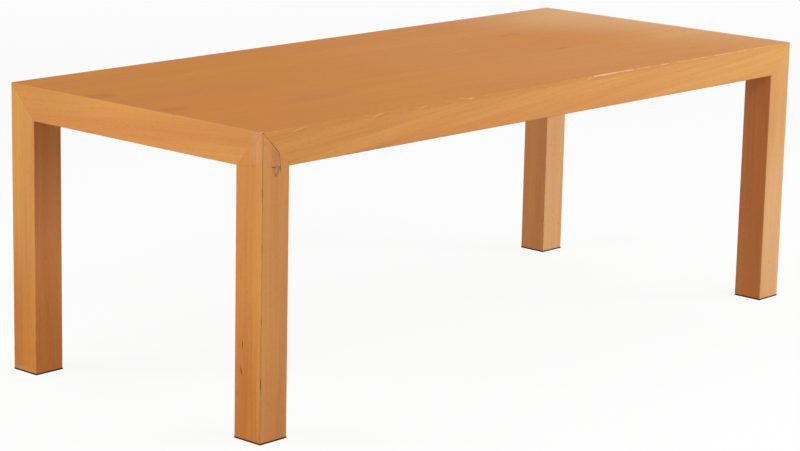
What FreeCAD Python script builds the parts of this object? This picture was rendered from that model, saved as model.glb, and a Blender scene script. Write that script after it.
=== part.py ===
import FreeCAD, Part
import os

import Sketcher

# Parsons dining table: a top and four aprons folded together in mitres, on four hollow box legs.
# Millimetres, +Z up, origin on the floor under the middle of the table.
# The long sides face front (-Y) and back (+Y), the short sides face left (-X) and right (+X).

Vector = FreeCAD.Vector
Rotation = FreeCAD.Rotation

DIMENSIONS = {
    # Whole table: legs are as wide as the aprons are deep
    "table_length": 2134,
    "table_width": 914,
    "table_height": 756,
    "section_width": 89,
    # Boards of the top, the aprons and the legs
    "board_thickness": 19,
    "arris_easing": 1.5,
    # Splines glued into the mitres
    "spline_thickness": 3,
    "spline_width": 10,
    "spline_side_clearance": 0.1,
    "spline_end_clearance": 0.5,
    "spline_setback": 15,
    # Blocks inside the legs, and the pads under them
    "head_block_length": 180,
    "foot_plug_length": 60,
    "pad_thickness": 4,
    # Corner blocks across the inside corners of the apron frame
    "corner_block_thickness": 28,
    "corner_block_setback": 10,
    "corner_block_gap": 4,
    # Hanger bolts, washers and nuts
    "bolt_diameter": 8,
    "bolt_bite": 32,
    "bolt_tail": 6,
    "bolt_clearance": 0.1,
    "washer_diameter": 16,
    "washer_thickness": 1.6,
    "nut_width": 13,
    "nut_height": 6.8,
    # Battens and glue blocks under the top
    "batten_width": 64,
    "batten_thickness": 25,
    "glue_block_side": 25,
    "glue_block_length": 75,
    # How far saw cuts run past the wood
    "cut_overrun": 5,
}

CORNER_NAMES = ("front_left", "front_right", "back_right", "back_left")
SIDE_NAMES = ("front", "right", "back", "left")

doc = FreeCAD.newDocument("parsons_table")
nodes = []


class Size:
    """A length held both as its number and as the sheet formula that gives it."""

    def __init__(self, number, formula=None):
        self.number = float(number)
        self.formula = formula or str(number)

    def join(self, other, sign, number):
        return Size(number, f"({self.formula} {sign} {other.formula})")

    def __add__(self, other):
        other = as_size(other)
        return self.join(other, "+", self.number + other.number)

    def __sub__(self, other):
        other = as_size(other)
        return self.join(other, "-", self.number - other.number)

    def __mul__(self, other):
        other = as_size(other)
        return self.join(other, "*", self.number * other.number)

    def __truediv__(self, other):
        other = as_size(other)
        return self.join(other, "/", self.number / other.number)

    def __neg__(self):
        return Size(0) - self


def as_size(value):
    return value if isinstance(value, Size) else Size(value)


def named(alias):
    """The driving dimension with this name."""
    return Size(DIMENSIONS[alias], f"dims.{alias}")


def fill_sheet():
    """Write every driving dimension into a named cell."""
    sheet = doc.addObject("Spreadsheet::Sheet", "dims")
    for row, (alias, number) in enumerate(DIMENSIONS.items(), start=1):
        sheet.set(f"A{row}", alias)
        sheet.set(f"B{row}", str(number))
        sheet.setAlias(f"B{row}", alias)
    doc.recompute()


# Shared sizes

NOTHING = Size(0)
DIAGONAL = Size(2 ** 0.5, "sqrt(2)")

table_length = named("table_length")
table_width = named("table_width")
table_height = named("table_height")
section = named("section_width")
board = named("board_thickness")
easing = named("arris_easing")
overrun = named("cut_overrun")
pad_thickness = named("pad_thickness")

leg_core = section - board * 2
spline_depth = board * 0.55
block_height = section - board - named("corner_block_setback")
block_start = section * 2 + named("corner_block_gap") * DIAGONAL
block_end = block_start + named("corner_block_thickness") * DIAGONAL
block_reach = block_end - board
batten_pitch = (table_length - block_reach * 2) / 4
end_block_pitch = (table_width - block_reach * 2) / 2


class Corner:
    """A top corner of the table, with the side that starts there.

    'along' runs down that side, 'inward' runs into the table from it, 'below' drops from the top.
    """

    def __init__(self, turns):
        self.turns = turns
        self.name = CORNER_NAMES[turns]
        self.side = SIDE_NAMES[turns]
        self.span = table_length if turns % 2 == 0 else table_width
        self.east = 1 if turns in (1, 2) else -1
        self.north = 1 if turns in (2, 3) else -1

    def point(self, along, inward, below):
        """The place in the table of a point given from this corner."""
        shifts = ((along, inward), (-inward, along), (-along, -inward), (inward, -along))
        across, forward = shifts[self.turns]
        return (
            table_length / 2 * self.east + across,
            table_width / 2 * self.north + forward,
            table_height - below,
        )

    def turned(self, rotation=Rotation()):
        """A rotation given at the front left corner, carried round to this one."""
        return quarter(self.turns).multiply(rotation)


def quarter(turns):
    return Rotation(Vector(0, 0, 1), 90 * turns)


CORNERS = [Corner(turns) for turns in range(4)]


# Ways of making pieces

def place(item, point, rotation=Rotation()):
    """Set a piece at a point of the table, bound to the formulas of that point."""
    item.Placement = FreeCAD.Placement(Vector(*(size.number for size in point)), rotation)
    for axis, size in zip("xyz", point):
        item.setExpression(f"Placement.Base.{axis}", size.formula)


def bind(item, **sizes):
    """Bind properties of a piece to formulas."""
    for prop, size in sizes.items():
        item.setExpression(prop, size.formula)


def as_node(item, label):
    """Name a finished sub-part and list it for writing."""
    item.Label = label
    nodes.append(item)


def draw(body, name, role, outlines):
    """Draw closed outlines on one of the body's own planes, with every corner bound to formulas."""
    sketch = body.newObject("Sketcher::SketchObject", name)
    plane = next(feature for feature in body.Origin.OriginFeatures if feature.Role == role)
    sketch.AttachmentSupport = [(plane, "")]
    sketch.MapMode = "FlatFace"
    for outline in outlines:
        first = sketch.GeometryCount
        count = len(outline)
        points = [Vector(across.number, up.number, 0) for across, up in outline]
        for index, point in enumerate(points):
            sketch.addGeometry(Part.LineSegment(point, points[(index + 1) % count]))
        for index in range(count):
            following = first + (index + 1) % count
            sketch.addConstraint(Sketcher.Constraint("Coincident", first + index, 2, following, 1))
        for index, corner in enumerate(outline):
            for kind, size in zip(("DistanceX", "DistanceY"), corner):
                rule = Sketcher.Constraint(kind, -1, 1, first + index, 1, size.number)
                number = sketch.addConstraint(rule)
                sketch.setExpression(f"Constraints[{number}]", size.formula)
    return sketch


def padded(name, role, outline, depth, downward=False):
    """A body padded from one outline."""
    body = doc.addObject("PartDesign::Body", name)
    pad = body.newObject("PartDesign::Pad", f"{name}_pad")
    pad.Profile = draw(body, f"{name}_outline", role, [outline])
    pad.Reversed = downward
    bind(pad, Length=depth)
    return body


def saw(body, name, role, outlines):
    """Cut outlines right through a body, to both sides of the plane they are drawn on."""
    sketch = draw(body, f"{name}_outline", role, outlines)
    pocket = body.newObject("PartDesign::Pocket", name)
    pocket.Profile = sketch
    pocket.Type = "ThroughAll"
    pocket.Midplane = True


def box(name, along, inward, tall):
    item = doc.addObject("Part::Box", name)
    bind(item, Length=along, Width=inward, Height=tall)
    return item


def cylinder(name, diameter, tall):
    item = doc.addObject("Part::Cylinder", name)
    bind(item, Radius=diameter / 2, Height=tall)
    return item


def gather(name, items):
    """Several pieces as one node of separate solids."""
    group = doc.addObject("Part::Compound", name)
    group.Links = items
    return group


def copies(name, original, stations):
    """Copies of one piece at a list of points and rotations."""
    links = []
    for point, rotation in stations:
        link = doc.addObject("App::Link", f"{name}_copy")
        link.LinkedObject = original
        place(link, point, rotation)
        links.append(link)
    return gather(name, links)


def bored(item, bores, name):
    """The piece with holes taken out of it."""
    cut = doc.addObject("Part::Cut", name)
    cut.Base = item
    cut.Tool = bores
    return cut


# Mitred board edges

def mitred_edge():
    """One mitred edge from outer to inner face, as (distance from the edge, depth from outer face).

    The arris is eased by a flat that the neighbouring board completes, and a groove for half of
    the spline is sunk square into the mitre.
    """
    half = (named("spline_thickness") / 2 + named("spline_side_clearance")) / DIAGONAL
    reach = (named("spline_width") / 2 + named("spline_end_clearance")) / DIAGONAL
    near = spline_depth - half
    far = spline_depth + half
    return [
        (easing, NOTHING),
        (easing / 2, easing / 2),
        (near, near),
        (near + reach, near - reach),
        (far + reach, far - reach),
        (far, far),
        (board, board),
    ]


def mitred_section(wide):
    """Section of a board with both edges mitred, as (distance across, depth from outer face)."""
    edge = mitred_edge()
    return edge + [(wide - distance, depth) for distance, depth in reversed(edge)]


def mirrored(outline, span):
    return [(span - across, up) for across, up in outline]


def spline_corner():
    """Corner of the spline's section, as its distances from the two faces that meet in the mitre."""
    wide = named("spline_width")
    thick = named("spline_thickness")
    return (
        spline_depth - (wide + thick) / (DIAGONAL * 2),
        spline_depth + (wide - thick) / (DIAGONAL * 2),
    )


# Top panel and aprons

def make_top():
    """Panel with mitred long edges, then its two ends cut to the same mitre."""
    outline = [(across, -depth) for across, depth in mitred_section(table_width)]
    body = padded("top", "YZ_Plane", outline, table_length)
    end = [(easing + overrun, overrun)]
    end += [(distance, -depth) for distance, depth in mitred_edge()[1:-1]]
    end += [
        (board + overrun, -(board + overrun)),
        (-overrun, -(board + overrun)),
        (-overrun, overrun),
    ]
    saw(body, "top_end_mitres", "XZ_Plane", [end, mirrored(end, table_length)])
    place(body, CORNERS[0].point(NOTHING, NOTHING, NOTHING))
    as_node(body, "top_panel")


def make_apron(corner):
    """Apron folded down from the top, with a face mitre at each end for the legs."""
    name = f"{corner.side}_apron"
    outline = [(depth, -distance) for distance, depth in mitred_edge()]
    outline += [
        (board, easing - section),
        (board - easing, -section),
        (easing, -section),
        (NOTHING, easing - section),
    ]
    body = padded(name, "YZ_Plane", outline, corner.span)
    end = [
        (-overrun, overrun),
        (section + overrun, -(section + overrun)),
        (-overrun, -(section + overrun)),
    ]
    saw(body, f"{name}_face_mitres", "XZ_Plane", [end, mirrored(end, corner.span)])
    place(body, corner.point(NOTHING, NOTHING, NOTHING), corner.turned())
    as_node(body, name)


def make_top_spline(corner):
    """Spline in the fold between the top and one apron, square to the mitre."""
    name = f"{corner.side}_top_spline"
    setback = section + named("spline_setback")
    long = corner.span - setback * 2
    spline = box(name, long, named("spline_thickness"), named("spline_width"))
    near, far = spline_corner()
    tilt = Rotation(Vector(1, 0, 0), -45)
    place(spline, corner.point(setback, near, far), corner.turned(tilt))
    as_node(spline, name)


# Legs

def leg_board_end(inner):
    """Waste at the head of a leg board: a face mitre outside, a notch round the apron inside."""
    if inner:
        return [
            (-overrun, overrun),
            (section + overrun, overrun),
            (section + overrun, -board),
            (board, -board),
            (board, -section),
            (-overrun, -section),
        ]
    return [
        (-overrun, overrun),
        (section + overrun, overrun),
        (section + overrun, -(section + overrun)),
    ]


def make_leg_boards(corner, bolt_bores):
    """Four mitred boards round a leg, each a quarter turn on from the last."""
    starts = ((NOTHING, NOTHING), (section, NOTHING), (section, section), (NOTHING, section))
    long = table_height - pad_thickness
    for index, (along, inward) in enumerate(starts):
        facing = SIDE_NAMES[(corner.turns + index) % 4]
        name = f"{corner.name}_leg_{facing}_board"
        inner = index in (1, 2)
        body = padded(f"{name}_blank", "XY_Plane", mitred_section(section), long, downward=True)
        end = leg_board_end(inner)
        if index in (2, 3):
            end = mirrored(end, section)
        saw(body, f"{name}_head_cut", "XZ_Plane", [end])
        place(body, corner.point(along, inward, NOTHING), corner.turned(quarter(index)))
        if inner:
            body = bored(body, bolt_bores, f"{name}_bored")
        as_node(body, name)


def make_leg_splines(corner):
    """Splines in the four arrises of a leg, square to the mitres and ending below the bolts."""
    name = f"{corner.name}_leg_splines"
    near, far = spline_corner()
    foot = table_height - pad_thickness
    long = foot - section - named("spline_setback")
    starts = (
        (near, far),
        (section - far, near),
        (section - near, section - far),
        (far, section - near),
    )
    splines = []
    for index, (along, inward) in enumerate(starts):
        spline = box(f"{name}_piece", named("spline_width"), named("spline_thickness"), long)
        across = Rotation(Vector(0, 0, 1), 90 * index - 45)
        place(spline, corner.point(along, inward, foot), corner.turned(across))
        splines.append(spline)
    as_node(gather(name, splines), name)


def make_leg_cores(corner, bolt_bores):
    """Block in the head of a leg, plug in its foot and pad under it."""
    name = f"{corner.name}_leg_head_block"
    head_length = named("head_block_length")
    head = box(f"{name}_blank", leg_core, leg_core, head_length)
    place(head, corner.point(board, board, board + head_length), corner.turned())
    as_node(bored(head, bolt_bores, f"{name}_bored"), name)

    name = f"{corner.name}_leg_foot_plug"
    plug = box(name, leg_core, leg_core, named("foot_plug_length"))
    place(plug, corner.point(board, board, table_height - pad_thickness), corner.turned())
    as_node(plug, name)

    name = f"{corner.name}_foot_pad"
    pad = box(name, section, section, pad_thickness)
    place(pad, corner.point(NOTHING, NOTHING, table_height), corner.turned())
    as_node(pad, name)


# Corner blocks and hanger bolts

def make_corner_block(corner, bolt_bores):
    """Block across the inside corner, whose ends sit flat on the two aprons."""
    name = f"{corner.name}_corner_block"
    outline = [
        (block_start - board, board),
        (block_reach, board),
        (board, block_reach),
        (board, block_start - board),
    ]
    body = padded(f"{name}_blank", "XY_Plane", outline, block_height, downward=True)
    place(body, corner.point(NOTHING, NOTHING, board), corner.turned())
    as_node(bored(body, bolt_bores, f"{name}_bored"), name)


def bolt_stations(distance):
    """Places on the bolt axes, at a distance along the diagonal from the outer arris of the leg."""
    inward = Rotation(Vector(0, 0, 1), Vector(1, 1, 0))
    reach = distance / DIAGONAL
    stations = []
    for corner in CORNERS:
        for share in (0.25, 0.75):
            point = corner.point(reach, reach, board + block_height * share)
            stations.append((point, corner.turned(inward)))
    return stations


def make_bolts():
    """Hanger bolts from the leg heads through the corner blocks, with washers and nuts.

    Returns the holes that the bolts run in.
    """
    diameter = named("bolt_diameter")
    clearance = named("bolt_clearance")
    hole = diameter + clearance * 2
    washer_thickness = named("washer_thickness")
    nut_height = named("nut_height")
    seat = block_end / DIAGONAL
    start = (section - board) * DIAGONAL - named("bolt_bite")
    long = seat + washer_thickness + nut_height + named("bolt_tail") - start

    bolt = cylinder("bolt", diameter, long)
    as_node(copies("bolts", bolt, bolt_stations(start)), "hanger_bolts")

    disc = cylinder("washer_disc", named("washer_diameter"), washer_thickness)
    washer = bored(disc, cylinder("washer_hole", hole, washer_thickness), "washer")
    as_node(copies("washers", washer, bolt_stations(seat)), "bolt_washers")

    hexagon = doc.addObject("Part::Prism", "nut_hexagon")
    hexagon.Polygon = 6
    bind(hexagon, Circumradius=named("nut_width") / Size(3 ** 0.5, "sqrt(3)"), Height=nut_height)
    nut = bored(hexagon, cylinder("nut_hole", hole, nut_height), "nut")
    as_node(copies("nuts", nut, bolt_stations(seat + washer_thickness)), "bolt_nuts")

    bore = cylinder("bolt_bore", hole, long + clearance)
    return copies("bolt_bores", bore, bolt_stations(start - clearance))


# Battens and glue blocks under the top

def make_battens():
    """Three battens across the underside of the top, between the long aprons."""
    wide = named("batten_width")
    thick = named("batten_thickness")
    for step, name in ((-1, "left_batten"), (0, "middle_batten"), (1, "right_batten")):
        batten = box(name, wide, table_width - board * 2, thick)
        along = table_length / 2 + batten_pitch * step - wide / 2
        place(batten, CORNERS[0].point(along, board, board + thick))
        as_node(batten, name)


def make_glue_blocks():
    """Three-cornered blocks in the angle between the top and the aprons."""
    side = named("glue_block_side")
    long = named("glue_block_length")
    outline = [(NOTHING, NOTHING), (side, NOTHING), (NOTHING, -side)]
    block = padded("glue_block", "YZ_Plane", outline, long)
    layouts = (
        ("long_glue_blocks", (0, 2), batten_pitch, (-1.5, -0.5, 0.5, 1.5)),
        ("end_glue_blocks", (1, 3), end_block_pitch, (-0.5, 0.5)),
    )
    for name, sides, pitch, steps in layouts:
        stations = []
        for turns in sides:
            corner = CORNERS[turns]
            for step in steps:
                along = corner.span / 2 + pitch * step - long / 2
                stations.append((corner.point(along, board, board), corner.turned()))
        as_node(copies(name, block, stations), name)


# Whole table

def make_table():
    bolt_bores = make_bolts()
    make_top()
    make_battens()
    make_glue_blocks()
    for corner in CORNERS:
        make_apron(corner)
        make_top_spline(corner)
        make_leg_boards(corner, bolt_bores)
        make_leg_splines(corner)
        make_leg_cores(corner, bolt_bores)
        make_corner_block(corner, bolt_bores)


def write_parts():
    """Check every object, then write each sub-part to a file of its own."""
    for item in doc.Objects:
        if "Invalid" in item.State or "Error" in item.State:
            raise RuntimeError(f"{item.Label} did not build: {item.State}")
    for node in nodes:
        if node.Shape.isNull() or not node.Shape.isValid():
            raise RuntimeError(f"{node.Label} has no valid shape")
    os.makedirs("parts", exist_ok=True)
    for node in nodes:
        node.Shape.exportStep(f"parts/{node.Label}.step")


fill_sheet()
make_table()
doc.recompute()
write_parts()
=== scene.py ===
"""Parsons dining table in lacquered oak veneer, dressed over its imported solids.

The solids give every size and place. This script copies the veneered boards with softened edges and
the wear of a used table, adds the small hardware under the top, gives every piece its finish, and sets
up a plain pale studio with a camera at the photograph's viewing angle. Metres, +Z up.
"""

import logging
import math
from abc import ABC, abstractmethod
from collections.abc import Iterable, Sequence
from dataclasses import dataclass
from enum import Enum

import bmesh
import bpy
from mathutils import Euler, Matrix, Quaternion, Vector, noise


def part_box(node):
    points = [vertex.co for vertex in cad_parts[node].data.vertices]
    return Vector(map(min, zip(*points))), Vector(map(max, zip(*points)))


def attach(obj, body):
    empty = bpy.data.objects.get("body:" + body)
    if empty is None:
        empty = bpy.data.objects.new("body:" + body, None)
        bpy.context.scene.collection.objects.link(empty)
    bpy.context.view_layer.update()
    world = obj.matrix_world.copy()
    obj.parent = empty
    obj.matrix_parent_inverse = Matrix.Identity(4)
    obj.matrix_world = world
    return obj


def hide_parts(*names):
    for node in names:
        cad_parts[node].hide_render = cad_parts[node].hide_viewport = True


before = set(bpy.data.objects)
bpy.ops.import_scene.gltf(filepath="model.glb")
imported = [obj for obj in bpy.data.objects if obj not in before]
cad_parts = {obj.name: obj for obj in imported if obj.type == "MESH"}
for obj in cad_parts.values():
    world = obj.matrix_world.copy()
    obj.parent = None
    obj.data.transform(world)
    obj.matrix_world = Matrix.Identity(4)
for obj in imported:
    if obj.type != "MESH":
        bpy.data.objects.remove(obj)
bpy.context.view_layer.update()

MM = 0.001
WELD = 1e-6
UP = Vector((0.0, 0.0, 1.0)).freeze()
BODY = "root"
RUB_LAYER = "rub"

log = logging.getLogger("parsons_table")


# Small helpers

def linear(colour: str) -> tuple[float, float, float, float]:
    """Turn an sRGB hex colour into the linear colour that shader sockets take.

    Args:
        colour: Colour such as "#CE8E50".

    Returns:
        Linear red, green, blue and an alpha of one.
    """
    parts = []
    for start in (1, 3, 5):
        value = int(colour[start:start + 2], 16) / 255
        parts.append(value / 12.92 if value <= 0.04045 else ((value + 0.055) / 1.055) ** 2.4)
    return (*parts, 1.0)


def add(
    tree: bpy.types.NodeTree, kind: str, inputs: dict | None = None, output: int | str = 0, **settings
) -> bpy.types.NodeSocket | None:
    """Add a node with its settings and links.

    Args:
        tree: Node tree that gets the node.
        kind: Blender's name of the node type, without the "ShaderNode" that it begins with.
        inputs: Input name or number, with a constant or the output socket that feeds it.
        output: Name or number of the output that is wanted.
        **settings: Properties of the node itself.

    Returns:
        The wanted output socket, or None for a node that has no outputs.
    """
    node = tree.nodes.new(f"ShaderNode{kind}")
    for name, value in settings.items():
        setattr(node, name, value)
    for key, value in (inputs or {}).items():
        if isinstance(value, bpy.types.NodeSocket):
            tree.links.new(value, node.inputs[key])
        else:
            node.inputs[key].default_value = value
    return node.outputs[output] if node.outputs else None


def node_material(name: str) -> bpy.types.Material:
    """Make a material with an empty node tree.

    Args:
        name: Name of the real material.

    Returns:
        The material.
    """
    material = bpy.data.materials.new(name)
    material.use_nodes = True
    material.node_tree.nodes.clear()
    return material


def place_mesh(name: str, shape: bmesh.types.BMesh) -> bpy.types.Object:
    """Turn a finished bmesh into an object of the scene.

    Args:
        name: Name of the object.
        shape: Mesh to use up.

    Returns:
        The new object, at the origin.
    """
    mesh = bpy.data.meshes.new(name)
    shape.to_mesh(mesh)
    shape.free()
    item = bpy.data.objects.new(name, mesh)
    bpy.context.scene.collection.objects.link(item)
    return item


def join_table(
    piece: bpy.types.Object, materials: Sequence[bpy.types.Material], slot: str, node: str | None
) -> None:
    """Give a piece its materials and its place in the table.

    Args:
        piece: Piece to join.
        materials: Its materials, in the order of its faces' numbers.
        slot: Word for its finish, which only goes into the log.
        node: Solid that it stands for, or None for a piece without a solid.
    """
    for material in materials:
        piece.data.materials.append(material)
    if node:
        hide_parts(node)
    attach(piece, BODY)
    log.info("piece %s in %s", piece.name, slot)


def loft(rings: Sequence[Sequence[Vector]], closed_ends: bool = True) -> bmesh.types.BMesh:
    """Skin a body through rings that have equal numbers of points.

    Args:
        rings: Rings of points, from one end to the other.
        closed_ends: Whether the first and last ring get a face, or else are joined to each other.

    Returns:
        The body, with its faces turned outward.
    """
    shape = bmesh.new()
    loops = [[shape.verts.new(point) for point in ring] for ring in rings]
    pairs = list(zip(loops, loops[1:]))
    if not closed_ends:
        pairs.append((loops[-1], loops[0]))
    for first, second in pairs:
        count = len(first)
        for index in range(count):
            after = (index + 1) % count
            shape.faces.new((first[index], first[after], second[after], second[index]))
    if closed_ends:
        shape.faces.new(loops[0])
        shape.faces.new(loops[-1])
    bmesh.ops.recalc_face_normals(shape, faces=shape.faces)
    return shape


def ring_of(radius: float, height: float, count: int) -> list[Vector]:
    """Points of a level circle about the Z axis.

    Args:
        radius: Radius of the circle.
        height: Height of the circle.
        count: Number of points.

    Returns:
        The points, counter-clockwise.
    """
    step = math.tau / count
    return [Vector((radius * math.cos(i * step), radius * math.sin(i * step), height)) for i in range(count)]


def turned(profile_mm: Iterable[tuple[float, float]], count: int) -> list[list[Vector]]:
    """Rings of a turned body.

    Args:
        profile_mm: Radius and height of each ring.
        count: Number of points in a ring.

    Returns:
        The rings, in metres.
    """
    return [[point * MM for point in ring_of(radius, height, count)] for radius, height in profile_mm]


def merge_copies(shape: bmesh.types.BMesh, places: Iterable[Matrix]) -> bmesh.types.BMesh:
    """Repeat one body at several places in one mesh.

    Args:
        shape: Body to repeat, which is used up.
        places: Transform of each copy.

    Returns:
        A mesh with all the copies.
    """
    pattern = bpy.data.meshes.new("pattern")
    shape.to_mesh(pattern)
    shape.free()
    merged = bmesh.new()
    for place in places:
        copy = pattern.copy()
        copy.transform(place)
        merged.from_mesh(copy)
        bpy.data.meshes.remove(copy)
    bpy.data.meshes.remove(pattern)
    return merged


def soften(shape: bmesh.types.BMesh, edges: Iterable[bmesh.types.BMEdge], by_mm: float) -> None:
    """Round edges off.

    Args:
        shape: Mesh that has the edges.
        edges: Edges to round.
        by_mm: Distance from the edge at which the rounding begins.
    """
    bmesh.ops.bevel(
        shape,
        geom=list(edges),
        offset=by_mm * MM,
        segments=3,
        profile=0.5,
        affect="EDGES",
        clamp_overlap=True,
    )


def carve(item: bpy.types.Object, cutters: Iterable[bpy.types.Object], **settings) -> None:
    """Cut bodies out of an object for good.

    Args:
        item: Object that is cut.
        cutters: Bodies to take away, in order.
        **settings: Properties of every cut.
    """
    for cutter in cutters:
        knife = item.modifiers.new("cut", "BOOLEAN")
        knife.operation = "DIFFERENCE"
        knife.solver = "EXACT"
        knife.object = cutter
        for name, value in settings.items():
            setattr(knife, name, value)
    graph = bpy.context.evaluated_depsgraph_get()
    whole = item.data
    cut = bpy.data.meshes.new_from_object(item.evaluated_get(graph))
    cut.name = item.name
    item.modifiers.clear()
    item.data = cut
    bpy.data.meshes.remove(whole)


# The table's shape, read from the solids

class Side(Enum):
    """The way a board faces, as a unit vector out of it."""

    FRONT = (0.0, -1.0, 0.0)
    RIGHT = (1.0, 0.0, 0.0)
    BACK = (0.0, 1.0, 0.0)
    LEFT = (-1.0, 0.0, 0.0)

    @property
    def outward(self) -> Vector:
        """Unit vector out of the face."""
        return Vector(self.value)

    @property
    def label(self) -> str:
        """Word used in the names of the solids."""
        return self.name.lower()


class Corner(Enum):
    """A corner of the table, as its signs along X and Y."""

    FRONT_LEFT = (-1, -1)
    FRONT_RIGHT = (1, -1)
    BACK_RIGHT = (1, 1)
    BACK_LEFT = (-1, 1)

    @property
    def label(self) -> str:
        """Words used in the names of the solids."""
        return self.name.lower()

    @property
    def inward(self) -> Vector:
        """Level unit vector along the diagonal into the table."""
        return Vector((-self.value[0], -self.value[1], 0.0)).normalized()

    def board(self, side: Side) -> str:
        """Name of the solid of one board of this corner's leg."""
        return f"{self.label}_leg_{side.label}_board"


@dataclass(frozen=True)
class FaceGrid:
    """A flat of the table, measured in millimetres from a corner of it.

    Attributes:
        origin: Corner that distances start from.
        along: Unit vector along the flat.
        below: Unit vector across the flat.
        outward: Unit vector out of the flat.
    """

    origin: Vector
    along: Vector
    below: Vector
    outward: Vector

    def point(self, along: float, below: float, proud: float = 0.0) -> Vector:
        """A point given in millimetres.

        Args:
            along: Distance along the flat.
            below: Distance across the flat.
            proud: Height above the flat.

        Returns:
            The point in the table's frame.
        """
        return self.origin + (self.along * along + self.below * below + self.outward * proud) * MM


@dataclass(frozen=True)
class TableShape:
    """Main sizes of the table.

    Attributes:
        low: Near left corner of the table, at the underside of the top.
        high: Far right corner of the table, at the height of the top.
        section: Width of a leg, which is the depth of an apron.
        board: Thickness of the boards.
        easing: How far the arrises are taken off.
    """

    low: Vector
    high: Vector
    section: float
    board: float
    easing: float = 1.5 * MM

    @classmethod
    def from_frame(cls) -> "TableShape":
        """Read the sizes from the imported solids.

        Returns:
            The sizes.
        """
        low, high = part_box("top_panel")
        apron_low, apron_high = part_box("front_apron")
        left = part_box(Corner.FRONT_LEFT.board(Side.FRONT))[0].x
        outer = Vector((left, apron_low.y, low.z))
        far = Vector((-left, -apron_low.y, high.z))
        return cls(outer, far, apron_high.z - apron_low.z, high.z - low.z)

    @property
    def sizes_mm(self) -> Vector:
        """Length, width and height of the table."""
        return Vector((self.high.x - self.low.x, self.high.y - self.low.y, self.high.z)) / MM

    def corner(self, corner: Corner) -> Vector:
        """The outer point of a corner at the height of the top.

        Args:
            corner: Corner asked for.

        Returns:
            The point where the top and the two sides would meet.
        """
        across, forward = corner.value
        return Vector((self.high.x * across, self.high.y * forward, self.high.z))

    def face(self, side: Side) -> FaceGrid:
        """The front or the left face, measured along and down from the near corner of the top.

        Args:
            side: Which of the two faces.

        Returns:
            The face.
        """
        along = Side.RIGHT if side is Side.FRONT else Side.BACK
        return FaceGrid(self.corner(Corner.FRONT_LEFT), along.outward, -UP, side.outward)


# Finishes

class Grain(Enum):
    """Which way the grain runs, as a direction."""

    LENGTHWISE = (1.0, 0.0, 0.0)
    CROSSWISE = (0.0, 1.0, 0.0)
    UPRIGHT = (0.0, 0.0, 1.0)
    DIAGONAL = (1.0, 1.0, 0.0)
    COUNTER_DIAGONAL = (1.0, -1.0, 0.0)

    def turn(self, outward: Vector, slope_deg: float) -> Euler:
        """The turn that lays the X axis along the grain.

        Args:
            outward: Unit vector out of the face.
            slope_deg: How far the grain runs off the board's own direction, seen from outside.

        Returns:
            The turn.
        """
        along = Quaternion(outward, math.radians(slope_deg)) @ Vector(self.value)
        return along.to_track_quat("X", "Z").to_euler()


@dataclass(frozen=True)
class Ramp:
    """An even change of a pattern's level into an amount.

    Attributes:
        start: Level at which the amount begins to change.
        end: Level at which it stops.
        first: Amount up to the start.
        last: Amount from the end on.
    """

    start: float
    end: float
    first: float = 0.0
    last: float = 1.0

    def of(self, level: bpy.types.NodeSocket) -> dict:
        """Inputs of the range node that turns this level into the amount.

        Args:
            level: Socket with the level.

        Returns:
            The inputs by name.
        """
        ends = {"From Min": self.start, "From Max": self.end, "To Min": self.first, "To Max": self.last}
        return {"Value": level, **ends}


@dataclass(frozen=True)
class Streak:
    """Noise drawn out along the grain.

    Attributes:
        long_mm: Length of a streak along the grain.
        wide_mm: Width of a streak across the grain.
        detail: Number of finer octaves that it carries.
        drift: How far it wanders off straight.
    """

    long_mm: float
    wide_mm: float
    detail: float = 2.0
    drift: float = 0.0

    # How strong each finer octave is, and how a seed shifts the pattern along X, Y and Z
    OCTAVE = 0.55
    SHIFT = (1.0, 0.7, 0.3)

    def draw(self, tree: bpy.types.NodeTree, turn: Euler, seed: float) -> bpy.types.NodeSocket:
        """Add the streaks to a material.

        Args:
            tree: Node tree of the material.
            turn: Turn that lays the X axis along the streaks.
            seed: Shift in metres that makes this board differ from the others.

        Returns:
            Socket with the strength of the streaks, about 0.5 on average.
        """
        spot = add(
            tree,
            "Mapping",
            {
                "Vector": add(tree, "TexCoord", output="Object"),
                "Location": [seed * share for share in self.SHIFT],
                "Rotation": turn,
                "Scale": (self.long_mm * MM, self.wide_mm * MM, self.wide_mm * MM),
            },
            vector_type="TEXTURE",
        )
        cloud = {"Scale": 1.0, "Detail": self.detail, "Roughness": self.OCTAVE, "Distortion": self.drift}
        return add(tree, "TexNoise", {"Vector": spot, **cloud})


@dataclass(frozen=True)
class Tone:
    """Three sRGB colours of one wood, from its dark streaks to its light ones.

    Attributes:
        dark: Colour of the dark streaks.
        body: Colour of most of the surface.
        light: Colour of the light streaks.
        reach: How far the streaks swing either side of the middle before the end colours.
    """

    dark: str
    body: str
    light: str
    reach: float = 0.16

    MIDDLE = 0.5

    def paint(self, tree: bpy.types.NodeTree, level: bpy.types.NodeSocket) -> bpy.types.NodeSocket:
        """Colour a pattern with the three tones.

        Args:
            tree: Node tree of the material.
            level: Pattern, about 0.5 on average.

        Returns:
            Socket with the colour.
        """
        colour = add(tree, "ValToRGB", {"Fac": level})
        stops = colour.node.color_ramp.elements
        stops[0].position = self.MIDDLE - self.reach
        stops[0].color = linear(self.dark)
        stops[1].position = self.MIDDLE + self.reach
        stops[1].color = linear(self.light)
        stops.new(self.MIDDLE).color = linear(self.body)
        return colour


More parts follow.
